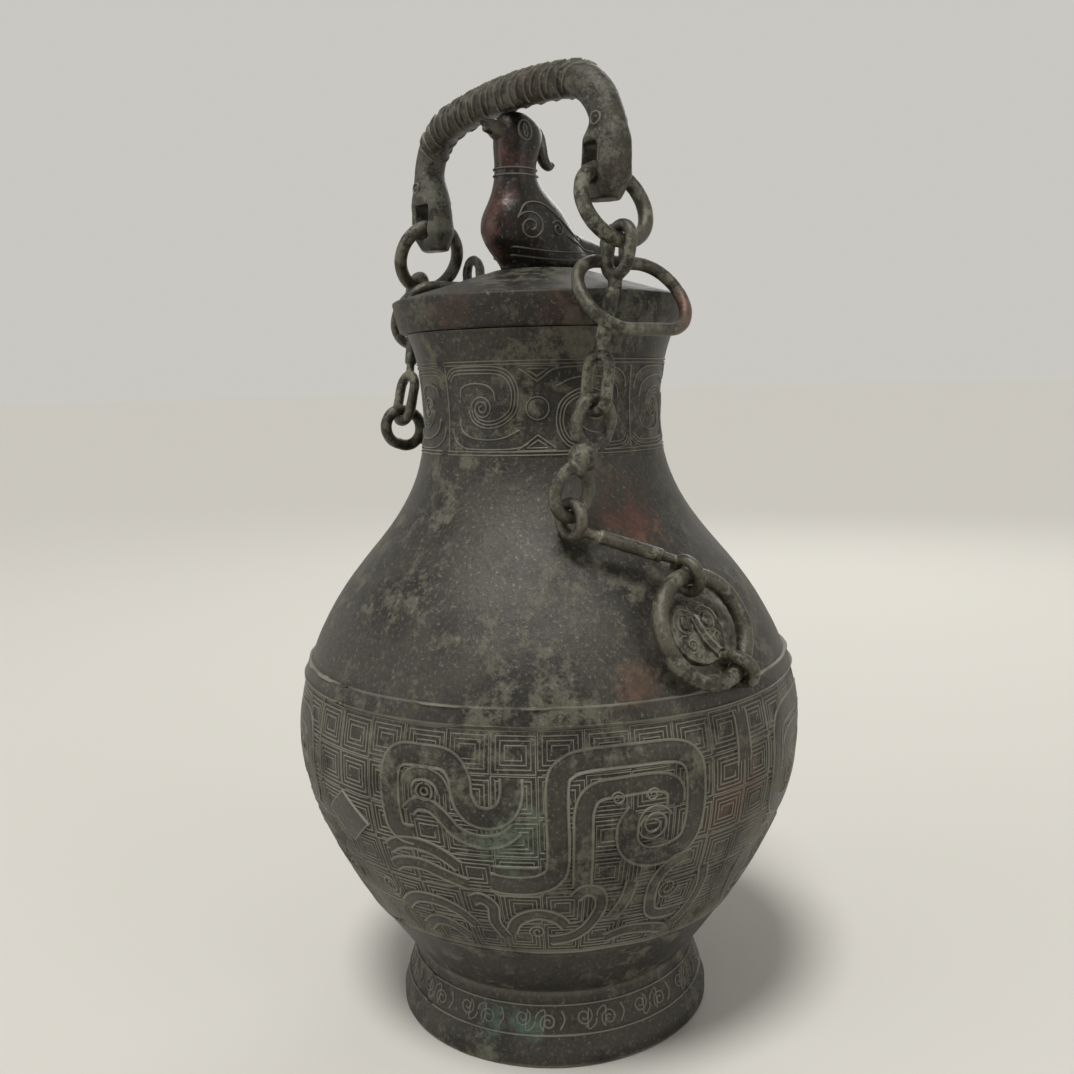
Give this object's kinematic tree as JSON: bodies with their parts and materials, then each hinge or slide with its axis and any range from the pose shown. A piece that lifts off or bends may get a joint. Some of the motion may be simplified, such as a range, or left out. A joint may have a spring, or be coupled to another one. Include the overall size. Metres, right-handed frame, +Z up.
{
  "type": "lidded hu vessel",
  "caption": "Bronze hu vessel: pear-shaped body on a ring foot, low domed lid with a bird, and a serpent handle hung on chains that run through rings on the lid.",
  "frame": {"origin": "centre of the foot's base", "axes": "+Z up, +X towards the right-hand mask and its chain, -Y the way the bird faces"},
  "size_m": [0.1906, 0.18, 0.3299],
  "materials": {
    "body_bronze": "dull patina",
    "lid_bronze": "dull patina",
    "bird_bronze": "satin patina",
    "handle_bronze": "worn patina",
    "chain_bronze": "worn patina"
  },
  "bodies": {
    "vessel": {"vessel_body": "body_bronze", "right_mask_lug": "body_bronze", "left_mask_lug": "body_bronze"},
    "lid": {"lid_cover": "lid_bronze", "bird_finial": "bird_bronze", "right_lid_lug": "lid_bronze", "left_lid_lug": "lid_bronze"},
    "handle": {"serpent_handle": "handle_bronze"},
    "right_lower": {"right_lower_link": "chain_bronze"},
    "right_middle": {"right_middle_link": "chain_bronze"},
    "right_upper": {"right_upper_link": "chain_bronze"},
    "right_shoulder_ring": {"right_shoulder_ring": "chain_bronze"},
    "right_handle_ring": {"right_handle_ring": "chain_bronze"},
    "right_guide_ring": {"right_guide_ring": "chain_bronze"},
    "left_lower": {"left_lower_link": "chain_bronze"},
    "left_middle": {"left_middle_link": "chain_bronze"},
    "left_upper": {"left_upper_link": "chain_bronze"},
    "left_shoulder_ring": {"left_shoulder_ring": "chain_bronze"},
    "left_handle_ring": {"left_handle_ring": "chain_bronze"},
    "left_guide_ring": {"left_guide_ring": "chain_bronze"}
  },
  "joints": [
    {"name": "lid_lift", "type": "slide", "parent": "vessel", "child": "lid", "axis": [0, 0, 1], "range_m": [0, 0.013]},
    {"name": "right_lower_swing", "type": "hinge", "parent": "vessel", "child": "right_lower", "pos_m": [0.0754, -0.0025, 0.16678], "axis": [1, 0, 0], "range_deg": [-30.05, 0]},
    {"name": "right_middle_swing", "type": "hinge", "parent": "right_lower", "child": "right_middle", "pos_m": [0.05295, -0.03022, 0.19219], "axis": [1, 0, 0], "range_deg": [0, 49.73]},
    {"name": "right_upper_swing", "type": "hinge", "parent": "right_middle", "child": "right_upper", "pos_m": [0.05295, -0.02026, 0.21566], "axis": [1, 0, 0], "range_deg": [-13.04, 0]},
    {"name": "handle_swing", "type": "hinge", "parent": "right_upper", "child": "handle", "pos_m": [0.05365, -0.0115, 0.2808], "axis": [1, 0, 0], "range_deg": [-7.03, 0]},
    {"name": "left_lower_swing", "type": "hinge", "parent": "vessel", "child": "left_lower", "pos_m": [-0.0754, -0.0025, 0.16678], "axis": [1, 0, 0], "range_deg": [-15.45, 0]},
    {"name": "left_middle_swing", "type": "hinge", "parent": "left_lower", "child": "left_middle", "pos_m": [-0.05295, -0.00298, 0.20438], "axis": [1, 0, 0], "range_deg": [-18.41, 0]},
    {"name": "left_upper_swing", "type": "hinge", "parent": "left_middle", "child": "left_upper", "pos_m": [-0.05295, -0.0274, 0.21172], "axis": [1, 0, 0], "range_deg": [0, 49.36]},
    {"name": "right_shoulder_ring_spin", "type": "hinge", "parent": "vessel", "child": "right_shoulder_ring", "pos_m": [0.08223, -0.0025, 0.15122], "axis": [0.9157, 0, 0.4018], "continuous": true},
    {"name": "left_shoulder_ring_spin", "type": "hinge", "parent": "vessel", "child": "left_shoulder_ring", "pos_m": [-0.08223, -0.0025, 0.15122], "axis": [-0.9157, 0, 0.4018], "continuous": true},
    {"name": "right_handle_ring_spin", "type": "hinge", "parent": "handle", "child": "right_handle_ring", "pos_m": [0.05365, -0.0115, 0.2808], "axis": [0.9272, 0, 0.3746], "continuous": true},
    {"name": "left_handle_ring_spin", "type": "hinge", "parent": "handle", "child": "left_handle_ring", "pos_m": [-0.05365, -0.0115, 0.2755], "axis": [-0.9272, 0, 0.3746], "continuous": true},
    {"name": "right_guide_ring_swing", "type": "hinge", "parent": "lid", "child": "right_guide_ring", "pos_m": [0.0474, -0.005, 0.2642], "axis": [0, -1, 0], "range_deg": [0, 45]},
    {"name": "left_guide_ring_swing", "type": "hinge", "parent": "lid", "child": "left_guide_ring", "pos_m": [-0.0474, -0.005, 0.2642], "axis": [0, 1, 0], "range_deg": [0, 45]}
  ],
  "couplings": [
    {"joint": "right_lower_swing", "follows": "lid_lift", "rad_per_m": -40.081},
    {"joint": "right_middle_swing", "follows": "lid_lift", "rad_per_m": 66.496},
    {"joint": "right_upper_swing", "follows": "lid_lift", "rad_per_m": -17.243},
    {"joint": "handle_swing", "follows": "lid_lift", "rad_per_m": -9.1722},
    {"joint": "left_lower_swing", "follows": "lid_lift", "rad_per_m": -20.48},
    {"joint": "left_middle_swing", "follows": "lid_lift", "rad_per_m": -24.453},
    {"joint": "left_upper_swing", "follows": "lid_lift", "rad_per_m": 66}
  ]
}
